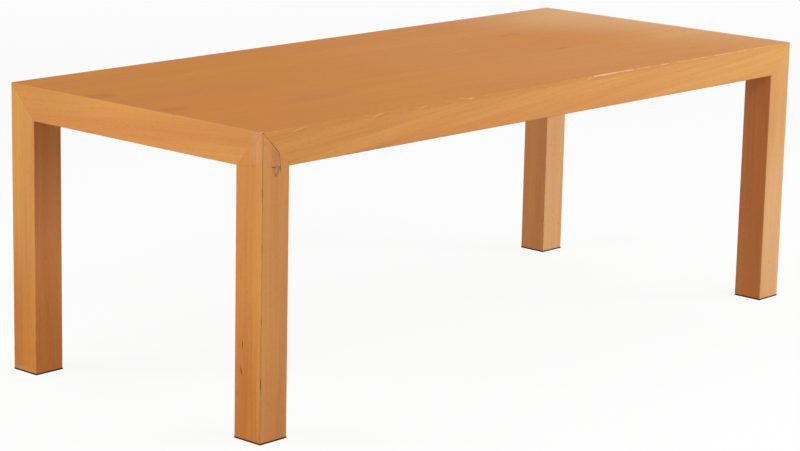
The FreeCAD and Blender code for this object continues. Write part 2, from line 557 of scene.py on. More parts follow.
@dataclass(frozen=True)
class Mark:
    """A stain, scuff or scratch, or a patch of painted sheen or painted shade, that fades out from its
    middle. Lengths are in millimetres.

    Attributes:
        flat: Flat that it is on, which lies square to the axes.
        along: Distance of its middle along the flat.
        below: Distance of its middle across the flat.
        half_along: Half of its length along the flat before it is turned.
        half_below: Half of its length across the flat before it is turned.
        half_deep: How far it reaches into the board.
        colour: Colour that it tends to, or the tones of a paler or darker wood, or of painted sheen or
            shade, that keep the grain.
        strength: How much of that colour shows at the middle.
        turn_deg: Turn in the flat.
        ragged: How much the grain breaks its edge up, with zero for a soft even fade.
    """

    flat: FaceGrid
    along: float
    below: float
    half_along: float
    half_below: float
    half_deep: float
    colour: str | Tone
    strength: float
    turn_deg: float = 0.0
    ragged: float = 2.0

    # Share of the mark that an average grain leaves, and how far in from the rim it has its strength
    COVER = 0.7
    CORE = 0.5

    def lay(
        self,
        tree: bpy.types.NodeTree,
        colour: bpy.types.NodeSocket,
        broken: bpy.types.NodeSocket,
        wood: bpy.types.NodeSocket,
    ) -> bpy.types.NodeSocket:
        """Lay the mark over a colour.

        Args:
            tree: Node tree of the material.
            colour: Colour under the mark.
            broken: Pattern that breaks the mark up.
            wood: Pattern of the grain, for a mark that keeps it.

        Returns:
            Socket with the marked colour.
        """
        flat = self.flat
        sizes = flat.along * self.half_along + flat.below * self.half_below + flat.outward * self.half_deep
        spot = add(
            tree,
            "Mapping",
            {
                "Vector": add(tree, "TexCoord", output="Object"),
                "Location": flat.point(self.along, self.below),
                "Rotation": [abs(part) * math.radians(self.turn_deg) for part in flat.outward],
                "Scale": [abs(size) * MM for size in sizes],
            },
            vector_type="TEXTURE",
        )
        ball = add(tree, "TexGradient", {"Vector": spot}, "Fac", gradient_type="SPHERICAL")
        rest = self.COVER - Tone.MIDDLE * self.ragged
        share = add(tree, "Math", {0: broken, 1: self.ragged, 2: rest}, operation="MULTIPLY_ADD")
        marked_or_worn = add(tree, "Math", {0: ball, 1: share}, operation="MULTIPLY")
        fade = Ramp(0.0, self.CORE, 0.0, self.strength)
        amount = add(tree, "MapRange", fade.of(marked_or_worn), interpolation_type="SMOOTHSTEP")
        tint = self.colour.paint(tree, wood) if isinstance(self.colour, Tone) else linear(self.colour)
        return add(tree, "Mix", {0: amount, 6: colour, 7: tint}, 2, data_type="RGBA")


@dataclass(frozen=True)
class Finish(ABC):
    """The finish of a surface.

    Attributes:
        name: Common name of the material and how its surface was made.
    """

    name: str

    @abstractmethod
    def shade(self, tree: bpy.types.NodeTree) -> dict:
        """Draw the patterns of the surface.

        Args:
            tree: Node tree of the material.

        Returns:
            Inputs of the surface's shader, as constants or sockets.
        """

    def material(self) -> bpy.types.Material:
        """Make the finish as a node material.

        Returns:
            The material.
        """
        material = node_material(self.name)
        tree = material.node_tree
        surface = add(tree, "BsdfPrincipled", self.shade(tree))
        add(tree, "OutputMaterial", {"Surface": surface})
        return material


@dataclass(frozen=True)
class LacqueredOak(Finish):
    """Rift-cut oak veneer, sanded and sprayed with satin lacquer that has ambered.

    To the eye: a warm honey ground that drifts in tone from leaf to leaf, drawn-out growth lines, short
    dark pores along the grain, and a soft uneven sheen that is rubbed thin along the arrises.

    Attributes:
        grain: Direction of the grain.
        outward: Unit vector out of the show face.
        tone: Colours of the wood under its lacquer.
        seed: Shift in metres that makes this board differ from the others.
        marks: Tone patches, stains and scuffs on this board, and patches of painted sheen and painted shade.
        slope_deg: How far the figure runs off the board's own direction.
    """

    grain: Grain
    outward: Vector
    tone: Tone
    seed: float
    marks: tuple[Mark, ...] = ()
    slope_deg: float = 0.0

    LEAF = Streak(1100, 42, 2.0, 0.6)
    FIGURE = Streak(380, 6, 3.0, 0.5)
    FIBRE = Streak(80, 1.7, 2.0)
    # Oak pores are about 5 mm by 0.3 mm, drawn three times as large here so that they show
    PORE = Streak(15, 1.0, 1.0)
    RUB = Streak(28, 6, 2.0)
    # How much leaf, figure and fibre each add to the wood's colour
    SHARES = (0.55, 0.25, 0.2)
    # Pores gather in the darker growth lines, and each begins and is full at these levels of its noise
    PORE_BANDS = Ramp(0.62, 0.38, 0.25, 1.0)
    PORE_FLECKS = Ramp(0.55, 0.68)
    PORE_COLOUR = "#8E5527"
    PORE_STRENGTH = 0.36
    PORE_SINK = -0.8
    # Lacquer is rubbed off the arrises in patches, which are paler and duller
    RUB_PATCHES = Ramp(0.5, 0.72, 0.0, 0.35)
    RUBBED_COLOUR = "#D9A66E"
    RUBBED_DULLING = 0.35
    SHEEN = Ramp(0.3, 0.7, 0.58, 0.64)
    RELIEF = {"Strength": 0.35, "Distance": 0.15 * MM}
    LACQUER = {"IOR": 1.48, "Specular IOR Level": 0.17}

    def shade(self, tree: bpy.types.NodeTree) -> dict:
        """Draw the wood, its marks and pores, and the lacquer over them.

        Args:
            tree: Node tree of the material.

        Returns:
            Inputs of the surface's shader.
        """
        turn = self.grain.turn(self.outward, self.slope_deg)
        streaks = (self.LEAF, self.FIGURE, self.FIBRE, self.PORE, self.RUB)
        clouds = [streak.draw(tree, turn, self.seed) for streak in streaks]
        leaf, figure, fibre, pore_cloud, rub_cloud = clouds
        leaf_share, figure_share, fibre_share = self.SHARES
        fine = add(tree, "Math", {0: fibre, 1: fibre_share}, operation="MULTIPLY")
        lines = add(tree, "Math", {0: figure, 1: figure_share, 2: fine}, operation="MULTIPLY_ADD")
        wood = add(tree, "Math", {0: leaf, 1: leaf_share, 2: lines}, operation="MULTIPLY_ADD")
        colour = self.tone.paint(tree, wood)
        for mark in self.marks:
            colour = mark.lay(tree, colour, rub_cloud, wood)

        bands = add(tree, "MapRange", self.PORE_BANDS.of(figure))
        flecks = add(tree, "MapRange", self.PORE_FLECKS.of(pore_cloud))
        pores = add(tree, "Math", {0: flecks, 1: bands}, operation="MULTIPLY")
        stain = add(tree, "Math", {0: pores, 1: self.PORE_STRENGTH}, operation="MULTIPLY")
        pored = add(tree, "Mix", {0: stain, 6: colour, 7: linear(self.PORE_COLOUR)}, 2, data_type="RGBA")

        # Arrises carry a rub value of one in the mesh
        arris = add(tree, "Attribute", output="Fac", attribute_name=RUB_LAYER)
        patches = add(tree, "MapRange", self.RUB_PATCHES.of(rub_cloud))
        rubbed = add(tree, "Math", {0: arris, 1: patches}, operation="MULTIPLY")
        marked_or_worn = add(tree, "Mix", {0: rubbed, 6: pored, 7: linear(self.RUBBED_COLOUR)}, 2, data_type="RGBA")

        sheen = add(tree, "MapRange", self.SHEEN.of(leaf))
        matt = add(tree, "Math", {0: rubbed, 1: self.RUBBED_DULLING, 2: sheen}, operation="MULTIPLY_ADD")
        sunk = add(tree, "Math", {0: pores, 1: self.PORE_SINK, 2: fine}, operation="MULTIPLY_ADD")
        relief = add(tree, "Bump", {"Height": sunk, **self.RELIEF})
        return {"Base Color": marked_or_worn, "Roughness": matt, "Normal": relief, **self.LACQUER}


@dataclass(frozen=True)
class BareWood(Finish):
    """Planed or broken wood without lacquer.

    To the eye: a dry, matt surface with soft streaks along the grain and a slight fuzz.

    Attributes:
        grain: Direction of the grain.
        tone: Colours of the wood.
        roughness: Roughness of the bare surface.
        seed: Shift in metres.
    """

    grain: Grain
    tone: Tone
    roughness: float
    seed: float

    BAND = Streak(260, 11, 3.0, 0.4)
    FIBRE = Streak(30, 1.2, 2.0)
    # How much band and fibre each add to the wood's colour
    SHARES = (0.55, 0.45)
    FUZZ = {"Strength": 0.5, "Distance": 0.2 * MM}
    SURFACE = {"IOR": 1.5, "Specular IOR Level": 0.3}

    def shade(self, tree: bpy.types.NodeTree) -> dict:
        """Draw the bands and fibres of the wood.

        Args:
            tree: Node tree of the material.

        Returns:
            Inputs of the surface's shader.
        """
        turn = self.grain.turn(UP, 0.0)
        band = self.BAND.draw(tree, turn, self.seed)
        fibre = self.FIBRE.draw(tree, turn, self.seed)
        band_share, fibre_share = self.SHARES
        fine = add(tree, "Math", {0: fibre, 1: fibre_share}, operation="MULTIPLY")
        wood = add(tree, "Math", {0: band, 1: band_share, 2: fine}, operation="MULTIPLY_ADD")
        fuzz = add(tree, "Bump", {"Height": fine, **self.FUZZ})
        colour = self.tone.paint(tree, wood)
        return {"Base Color": colour, "Roughness": self.roughness, "Normal": fuzz, **self.SURFACE}


@dataclass(frozen=True)
class BirchPly(Finish):
    """Birch plywood, sawn into splines.

    To the eye: thin pale and brown layers, one for each sheet of veneer.

    Attributes:
        layer_mm: Thickness of a layer.
        tone: Colours of the layers.
        wander: How far the layers run off straight.
        roughness: Roughness of the sawn surface.
    """

    name: str = "birch_plywood_sawn"
    layer_mm: float = 1.0
    tone: Tone = Tone("#A87F4E", "#D2B282", "#E4CBA0", 0.3)
    wander: float = 0.4
    roughness: float = 0.7

    def shade(self, tree: bpy.types.NodeTree) -> dict:
        """Draw the layers.

        Args:
            tree: Node tree of the material.

        Returns:
            Inputs of the surface's shader.
        """
        inputs = {
            "Vector": add(tree, "TexCoord", output="Object"),
            "Scale": 1 / (self.layer_mm * MM * math.tau),
            "Distortion": self.wander,
        }
        layers = add(tree, "TexWave", inputs, "Fac", bands_direction="DIAGONAL")
        return {"Base Color": self.tone.paint(tree, layers), "Roughness": self.roughness}


@dataclass(frozen=True)
class HardRubber(Finish):
    """Hard rubber, moulded in a sheet and cut.

    To the eye: nearly black with a brown cast, matt, with fine grit and dust in it.

    Attributes:
        colour: Colour of the rubber.
        dust: Colour of the dust in it.
        grit_mm: Size of the grit.
    """

    name: str = "hard_rubber_moulded"
    colour: str = "#241208"
    dust: str = "#382212"
    grit_mm: float = 0.9

    DUSTING = Ramp(0.45, 0.75)
    RELIEF = {"Strength": 0.4, "Distance": 0.1 * MM}
    SURFACE = {"Roughness": 0.85, "IOR": 1.52, "Specular IOR Level": 0.2}

    def shade(self, tree: bpy.types.NodeTree) -> dict:
        """Draw the grit and dust.

        Args:
            tree: Node tree of the material.

        Returns:
            Inputs of the surface's shader.
        """
        spot = add(tree, "TexCoord", output="Object")
        grit = add(tree, "TexNoise", {"Vector": spot, "Scale": 1 / (self.grit_mm * MM), "Detail": 3.0})
        dusty = add(tree, "MapRange", self.DUSTING.of(grit))
        mixed = {0: dusty, 6: linear(self.colour), 7: linear(self.dust)}
        colour = add(tree, "Mix", mixed, 2, data_type="RGBA")
        relief = add(tree, "Bump", {"Height": grit, **self.RELIEF})
        return {"Base Color": colour, "Normal": relief, **self.SURFACE}


@dataclass(frozen=True)
class ZincSteel(Finish):
    """Steel, zinc plated and passivated.

    To the eye: a bluish silver metal with a soft shine and faint cloudy patches.

    Attributes:
        bright: Colour of the clear plating.
        dull: Colour of the cloudy patches.
        cloud_mm: Size of a patch.
    """

    name: str = "steel_zinc_plated"
    bright: str = "#C6C9CB"
    dull: str = "#9A9C9A"
    cloud_mm: float = 2.5

    SHINE = Ramp(0.0, 1.0, 0.25, 0.5)

    def shade(self, tree: bpy.types.NodeTree) -> dict:
        """Draw the cloudy plating.

        Args:
            tree: Node tree of the material.

        Returns:
            Inputs of the surface's shader.
        """
        spot = add(tree, "TexCoord", output="Object")
        cloud = add(tree, "TexNoise", {"Vector": spot, "Scale": 1 / (self.cloud_mm * MM), "Detail": 3.0})
        mixed = {0: cloud, 6: linear(self.bright), 7: linear(self.dull)}
        colour = add(tree, "Mix", mixed, 2, data_type="RGBA")
        shine = add(tree, "MapRange", self.SHINE.of(cloud))
        return {"Base Color": colour, "Roughness": shine, "Metallic": 1.0}


# Wear that is cut into the boards

@dataclass
class Damage(ABC):
    """A place where wood is gone from one or more boards.

    Attributes:
        nodes: Names of the solids whose boards it is cut from.
        finish: Finish of the wood laid bare.
        grid: Flat that it is measured on.
    """

    nodes: tuple[str, ...]
    finish: BareWood
    grid: FaceGrid

    @abstractmethod
    def rings(self) -> list[list[Vector]]:
        """Rings of the body that is taken away."""

    def cutter(self, material: bpy.types.Material) -> bpy.types.Object:
        """Make the body that is taken away.

        Args:
            material: Material of the wood laid bare.

        Returns:
            The cutter, to be removed after use.
        """
        shape = loft(self.rings())
        bmesh.ops.triangulate(shape, faces=shape.faces)
        item = place_mesh("cutter", shape)
        item.data.materials.append(material)
        return item


@dataclass
class Crack(Damage):
    """An open crack of V section.

    Attributes:
        route: Points of the crack, as (along, below, width) in millimetres.
        depth_mm: Depth of the V.
        lift_mm: How far its cutter stands out of the flat.
    """

    route: tuple[tuple[float, float, float], ...]
    depth_mm: float = 5.0
    lift_mm: float = 1.0

    def rings(self) -> list[list[Vector]]:
        """One three-cornered ring at each point of the route.

        Returns:
            The rings, from one end of the crack to the other.
        """
        rings = []
        spread = (self.depth_mm + self.lift_mm) / self.depth_mm
        for index, (along, below, width) in enumerate(self.route):
            before = self.route[max(index - 1, 0)]
            after = self.route[min(index + 1, len(self.route) - 1)]
            heading = Vector((after[0] - before[0], after[1] - before[1])).normalized()
            half = width / 2 * spread
            rings.append([
                self.grid.point(along - heading.y * half, below + heading.x * half, self.lift_mm),
                self.grid.point(along + heading.y * half, below - heading.x * half, self.lift_mm),
                self.grid.point(along, below, -self.depth_mm),
            ])
        return rings


@dataclass
class TornChip(Damage):
    """A chip torn out of a face, deep on one side and running out on the other.

    Attributes:
        outline: Points round the chip, as (along, below, depth) in millimetres.
        lift_mm: How far its cutter stands out of the flat.
    """

    outline: tuple[tuple[float, float, float], ...]
    lift_mm: float = 1.0

    def rings(self) -> list[list[Vector]]:
        """The outline above the face, and again at its depth.

        Returns:
            The two rings.
        """
        above = [self.grid.point(along, below, self.lift_mm) for along, below, depth in self.outline]
        inside = [self.grid.point(along, below, -depth) for along, below, depth in self.outline]
        return [above, inside]


@dataclass
class RubbedArris(Damage):
    """An arris that is rubbed and dented down to bare wood. The 'below' of its grid runs along it.

    Attributes:
        stretches: Rubbed stretches, as (start, end, depth) in millimetres.
        seed: Shift that makes the dents differ.
        step_mm: Distance between rings.
        half_width_mm: Half of the width of the cutter.
        clear_mm: How far the cutter stays clear of the arris between stretches.
        dents_per_mm: How closely the dents follow each other.
        dent_share: How much the dents change the depth.
    """

    stretches: tuple[tuple[float, float, float], ...]
    seed: float
    step_mm: float = 5.0
    half_width_mm: float = 6.0
    clear_mm: float = 0.15
    dents_per_mm: float = 0.11
    dent_share: float = 0.7

    # Shift in the noise, one way or the other, that makes the dents of the arris' two halves differ
    HALF_SHIFT = 1.7

    def depth(self, place: float, side: int) -> float:
        """Depth of the rub at one place.

        Args:
            place: Distance along the arris in millimetres.
            side: Which half of the arris, -1 or 1.

        Returns:
            Depth in millimetres, below zero where nothing is taken off.
        """
        deepest = -self.clear_mm
        for start, end, depth in self.stretches:
            share = (place - start) / (end - start)
            if 0.0 < share < 1.0:
                swell = math.sqrt(math.sin(math.pi * share))
                spot = Vector((place * self.dents_per_mm, side * self.HALF_SHIFT, self.seed))
                dents = noise.noise(spot)
                deepest = max(deepest, depth * swell * (1.0 + self.dent_share * dents))
        return deepest

    def rings(self) -> list[list[Vector]]:
        """Rings along the arris, whose inner side follows the depth.

        Returns:
            The rings, from one end to the other.
        """
        first = min(start for start, end, depth in self.stretches)
        last = max(end for start, end, depth in self.stretches)
        count = max(2, round((last - first) / self.step_mm))
        half = self.half_width_mm
        rings = []
        for index in range(count + 1):
            place = first + (last - first) * index / count
            rings.append([
                self.grid.point(-half, place, -self.depth(place, -1)),
                self.grid.point(half, place, -self.depth(place, 1)),
                self.grid.point(half, place, half),
                self.grid.point(-half, place, half),
            ])
        return rings


@dataclass
class Wear:
    """All the damage on the table.

    Attributes:
        damage: Places where wood is gone.
    """

    damage: Sequence[Damage]

    def cut(self, pieces: dict[str, bpy.types.Object]) -> None:
        """Cut every place into the boards that it touches.

        Args:
            pieces: Boards by the name of their solid.
        """
        materials = {}
        made = []
        cutters = {}
        for place in self.damage:
            name = place.finish.name
            if name not in materials:
                materials[name] = place.finish.material()
            cutter = place.cutter(materials[name])
            made.append(cutter)
            for node in place.nodes:
                cutters.setdefault(node, []).append(cutter)
        for node in sorted(cutters):
            carve(pieces[node], cutters[node], material_mode="TRANSFER")
            log.info("wear cut into %s", pieces[node].name)
        for cutter in made:
            bpy.data.meshes.remove(cutter.data)


# Colours of the woods: first the veneer, board by board, with its painted sheen and painted shade, then wood
# without lacquer

OAK = Tone("#C87F43", "#D38E48", "#DA9A4C")
OAK_CLEAR = Tone("#CA8146", "#D5904C", "#DC9C50", 0.24)
OAK_TAN = Tone("#BD7741", "#C88546", "#CF914A", 0.24)
OAK_BUFF = Tone("#C48247", "#CF914D", "#D69D52")
OAK_TOP = Tone("#C67B3D", "#D0863E", "#D69043", 0.3)
OAK_TOP_RED = Tone("#C67638", "#CF8038", "#D5893D", 0.3)
# Painted sheen, laid on the right end of the top
OAK_TOP_PAINTED_SHEEN_SOFT = Tone("#CF8F5F", "#D99A60", "#DFA465", 0.3)
OAK_TOP_PAINTED_SHEEN = Tone("#DCA87F", "#E6B380", "#ECBD85", 0.3)
# Painted shade, laid toward the feet of the left-end legs
OAK_PAINTED_FOOT_SHADE = Tone("#AF6020", "#BD6C26", "#C7782D")
OAK_PAINTED_NEAR_FOOT_SHADE = Tone("#B56B38", "#C07640", "#C88048")
# Painted sheen on the right end of the front apron
OAK_PAINTED_SHEEN_STRAW = Tone("#C18A44", "#CA924C", "#D29C55")
# Painted sheen toward the foot of the near right leg's front
OAK_PAINTED_FLOOR_SHEEN = Tone("#CD9A69", "#D6A270", "#DCAA78")
OAK_DULL = Tone("#C98348", "#D4904F", "#DB9A58")
OAK_RED = Tone("#D18145", "#DC8C4C", "#E29751")
OAK_RUSSET = Tone("#CF7B42", "#DA8649", "#E0914E")
OAK_GREYED = Tone("#C27B47", "#CD8750", "#D49156")
# Painted sheen: the paler fronts of the two right-end legs
OAK_PAINTED_SHEEN_PALE = Tone("#C2894E", "#CB9354", "#D29C5B")
OAK_PAINTED_SHEEN_PALEST = Tone("#DB9F68", "#E4AA72", "#EAB37C")
TORN_OAK = Tone("#A5693E", "#BA7C50", "#CF9C70", 0.2)
PALE_BARE_OAK = Tone("#D09A68", "#DEAA7A", "#E9BE94", 0.2)
OLD_BREAK = Tone("#6E3B10", "#8E4F18", "#A66628", 0.2)
DENTED_OAK = Tone("#8A5018", "#A0611F", "#B47430", 0.2)
BACKING = Tone("#A57A4C", "#B98D5C", "#C79F70", 0.2)
POPLAR = Tone("#B79A6B", "#CDB384", "#DAC59B", 0.2)


# What the years have done to the table, with the sheen and shade painted onto it

def table_marks(shape: TableShape) -> dict[str, tuple[Mark, ...]]:
    """The tone patches, stains and scratches that the table shows, with its painted sheen and painted shade,
    measured from its near corner.

    Args:
        shape: Sizes of the table.

    Returns:
        The marks of each board that has any, by the name of its solid.
    """
    long, wide, tall = shape.sizes_mm
    top = FaceGrid(shape.corner(Corner.FRONT_LEFT), Side.RIGHT.outward, Side.BACK.outward, UP)
    front = shape.face(Side.FRONT)
    left = shape.face(Side.LEFT)
    # Across the mitre, this one is on the left apron and on the leg board below it
    bruise = (17, 36, 30, 66, 6, "#D99F76", 0.4, 0, 0.5)
    # Each row gives along, below, half along, half below, half deep, colour, strength, turn, ragged
    boards = (
        ("top_panel", top, (
            (150, 250, 520, 460, 5, OAK_TOP_RED, 0.6, 0, 0.3),
            # Painted sheen: the right end of the top is paler, most at the back corner, in place of a
            # reflection in the lacquer. The row after it pulls the middle back to the plain top tone.
            (1900, 900, 1300, 2500, 5, OAK_TOP_PAINTED_SHEEN_SOFT, 0.38, 0, 0.3),
            (2359, 1018, 818, 1500, 5, OAK_TOP_PAINTED_SHEEN, 0.89, 0, 0.3),
            (1580, 457, 620, 210, 5, OAK_TOP, 0.4, 0, 0.3),
            (709, 5, 17, 3, 5, "#F2D6B4", 0.9, -38, 1.5),
            (735, 644, 30, 3, 5, "#E7B98A", 0.5, 4),
            (429, 713, 24, 3, 5, "#E7B98A", 0.5, -2),
            (1267, 511, 40, 4, 5, "#E7B98A", 0.5, 2),
            (1599, 618, 60, 5, 5, "#9A5C2C", 0.5, 1),
            (1532, 360, 30, 6, 5, "#9A5C2C", 0.5),
            (1823, 119, 9, 7, 5, "#8C4F24", 0.6, 0, 1),
            (30, 610, 70, 40, 5, "#B06C34", 0.4, 0, 1),
            (45, 360, 70, 40, 5, "#B06C34", 0.35, 0, 1),
            (3, 7, 8, 5, 5, "#E8BE9C", 0.6, 40, 1),
            (1067, 0, 1100, 9, 5, "#C07A38", 0.4, 0, 2.4),
            (0, 330, 9, 420, 5, "#DDA152", 0.5, 0, 2.4),
            (430, 250, 180, 45, 5, "#C2784A", 0.35, 0, 0.6),
        )),
        ("left_apron", left, (
            (wide, 0, 420, 200, 90, OAK_TAN, 0.8, 0, 0.3),
            bruise,
        )),
        ("front_apron", front, (
            # Painted sheen: the right end of the front apron is paler.
            (long, 0, 900, 300, 90, OAK_PAINTED_SHEEN_STRAW, 0.8, 0, 0.3),
            (long / 2, 0, 1150, 16, 9, "#C47E3C", 0.5),
            # Pale strokes just under the arris are painted highlights where the veneer is frayed; two of
            # them have a darker stroke just below.
            (119, 6, 36, 1.8, 5, "#E6B473", 0.6, -8),
            (126, 10, 34, 1.6, 5, "#AC6C30", 0.6, -8),
            (390, 5, 30, 1.6, 5, "#E6B473", 0.6, -8),
            (398, 9, 26, 1.4, 5, "#AC6C30", 0.6, -8),
            (551, 4, 24, 1.6, 5, "#E6B473", 0.6, -8),
            (728, 3, 17, 1.8, 5, "#F2D6B4", 0.6, 6),
            (1208, 5, 16, 5.0, 5, "#DDA070", 0.6, -8),
        )),
        (Corner.FRONT_RIGHT.board(Side.FRONT), front, (
            # Painted sheen: paler toward the foot, in place of the white floor's reflection
            (long, tall - 200, 200, 380, 200, OAK_PAINTED_FLOOR_SHEEN, 0.9, 0, 0.3),
        )),
        (Corner.BACK_LEFT.board(Side.LEFT), left, (
            (wide - 40, tall - 6, 46, 13, 6, "#C99268", 0.6, 0, 0.8),
        )),
        (Corner.FRONT_LEFT.board(Side.FRONT), front, (
            # Painted shade, darker toward the floor
            (0, tall, 200, 260, 200, OAK_PAINTED_NEAR_FOOT_SHADE, 0.3, 0, 0.6),
            (43, 62, 18, 40, 6, "#BC7350", 0.5, 0, 0.5),
        )),
        (Corner.FRONT_LEFT.board(Side.LEFT), left, (
            bruise,
            (47, 85, 42, 1.6, 6, "#A8672F", 0.5, -9),
            # Painted highlight: a paler strip beside the near arris, low on the leg
            (8, 620, 8, 190, 6, "#D9994F", 0.6, 0, 0.8),
            (65, 552, 5, 30, 6, "#CC7F50", 0.5, 0, 0.8),
        )),
    )
    marks = {node: tuple(Mark(flat, *row) for row in rows) for node, flat, rows in boards}
    # Painted shade: the boards of the left-end legs darken toward the floor, apart from the near front
    # board, which has its own row above
    for corner, along in ((Corner.FRONT_LEFT, 0), (Corner.BACK_LEFT, wide)):
        for side in Side:
            if (corner, side) == (Corner.FRONT_LEFT, Side.FRONT):
                continue
            node = corner.board(side)
            strength = 0.8 if side is Side.FRONT else 0.6
            foot_shade = Mark(left, along, tall, 200, 430, 200, OAK_PAINTED_FOOT_SHADE, strength, ragged=0.6)
            marks[node] = (foot_shade, *marks.get(node, ()))
    return marks


def table_wear(shape: TableShape) -> list[Damage]:
    """The damage that the table shows, measured from its near corner.

    Args:
        shape: Sizes of the table.

    Returns:
        Every place where wood is gone.
    """
    near = shape.corner(Corner.FRONT_LEFT)
    front = shape.face(Side.FRONT)
    left = shape.face(Side.LEFT)
    ease = shape.easing / math.sqrt(2)
    leg_out = Vector((-1, -1, 0)).normalized()
    leg_arris = FaceGrid(near - leg_out * ease, Vector((1, -1, 0)).normalized(), -UP, leg_out)
    top_out = Vector((0, -1, 1)).normalized()
    top_arris = FaceGrid(near - top_out * ease, Vector((0, 1, 1)).normalized(), Side.RIGHT.outward, top_out)
    bare = BareWood("oak_rubbed_bare", Grain.LENGTHWISE, PALE_BARE_OAK, roughness=0.7, seed=1.0)
    broken = BareWood("oak_broken_and_dirty", Grain.UPRIGHT, OLD_BREAK, roughness=0.85, seed=1.0)
    torn = BareWood("oak_torn", Grain.UPRIGHT, TORN_OAK, roughness=0.8, seed=1.0)
    dented = BareWood("oak_dented", Grain.UPRIGHT, DENTED_OAK, roughness=0.7, seed=1.0)
    leg_front = Corner.FRONT_LEFT.board(Side.FRONT)
    leg_left = Corner.FRONT_LEFT.board(Side.LEFT)
    mitre = (
        (1.2, 1.2, 0.25), (12, 12, 0.35), (24, 24, 0.45), (28, 28, 0.9), (40, 40, 1.1), (52, 52, 1.1),
        (55, 60, 1.0), (56.2, 74, 1.0), (57.6, 86, 1.2), (58.6, 95, 1.5), (58.2, 102, 0.3),
    )
    arris = (
        (
            (0, 6, 0.15), (0, 40, 0.25), (0, 60, 0.2), (0, 90, 0.25), (0, 132, 0.2), (0, 140, 1.0),
            (0, 151, 1.1), (0, 158, 0.3), (0, 176, 0.05),
        ),
        ((0, 262, 0.1), (0, 270, 0.8), (0, 286, 0.9), (0, 296, 0.1)),
        ((0, 446, 0.1), (0, 450, 0.6), (0, 456, 0.6), (0, 461, 0.1)),
        ((0, 590, 0.1), (0, 597, 1.4), (0, 614, 1.6), (0, 624, 0.1)),
    )
    dents = (
        ((61.6, 507, 0.3), (62, 514, 2.0), (62.4, 522, 1.8), (63.6, 530, 0.3)),
        ((68, 572, 0.3), (67, 580, 1.8), (65, 590, 2.0), (62.5, 598, 0.3)),
    )
    chip = (
        (27.5, 82.5, 0.7), (33, 84, 1.3), (40, 85.5, 1.5), (48, 84.5, 1.4), (53.5, 86, 1.2),
        (55, 91, 1.0), (52, 97, 0.9), (48, 104, 0.7), (43, 111, 0.3), (39, 109, 0.4), (33, 96, 0.6),
    )
    chip_left = ((26.5, 80, 0.3), (29.5, 88, 1.5), (33.5, 97, 1.6), (38, 107, 1.4), (41, 113, 0.3))
    chip_right = ((51, 83, 0.3), (55.2, 88, 1.3), (55.6, 92, 1.3), (52.5, 98, 1.2), (49, 104, 0.3))
    gouge = ((29.5, 84, 0.6), (33, 86, 3.2), (40, 88, 3.6), (46, 86.5, 2.6), (50, 85.5, 0.6))
    gouge_tail = ((38.5, 94, 0.3), (41, 100, 1.0), (44.5, 107.5, 1.1), (48, 105, 1.0), (51, 102, 0.3))
    notch = ((-1, -1, 2.0), (3.0, -1, 1.6), (3.8, 1.6, 1.3), (1.6, 2.6, 1.6), (-1, 2.2, 2.0))
    rubbed = (
        (1222, 1330, 1.2), (1318, 1400, 0.5), (1410, 1468, 0.12), (1512, 1548, 0.5), (1588, 1640, 0.08),
        (1655, 1730, 0.06), (1760, 1850, 0.06), (1870, 1925, 0.1), (1950, 2012, 0.06),
    )
    return [
        Crack(("front_apron", leg_front), broken, front, mitre),
        *(Crack((leg_front, leg_left), broken, leg_arris, route, depth_mm=4.0) for route in arris),
        *(Crack((leg_left,), dented, left, route, depth_mm=1.2) for route in dents),
        TornChip((leg_front,), torn, front, chip),
        Crack((leg_front,), bare, front, chip_left, depth_mm=1.2),
        Crack((leg_front,), bare, front, chip_right, depth_mm=1.2),
        Crack((leg_front,), broken, front, gouge, depth_mm=2.6),
        Crack((leg_front,), broken, front, gouge_tail, depth_mm=2.4),
        TornChip(("top_panel", "front_apron", "left_apron", leg_front, leg_left), broken, front, notch),
        RubbedArris(("top_panel", "front_apron"), bare, top_arris, rubbed, seed=4.0),
    ]


# Sub-assemblies

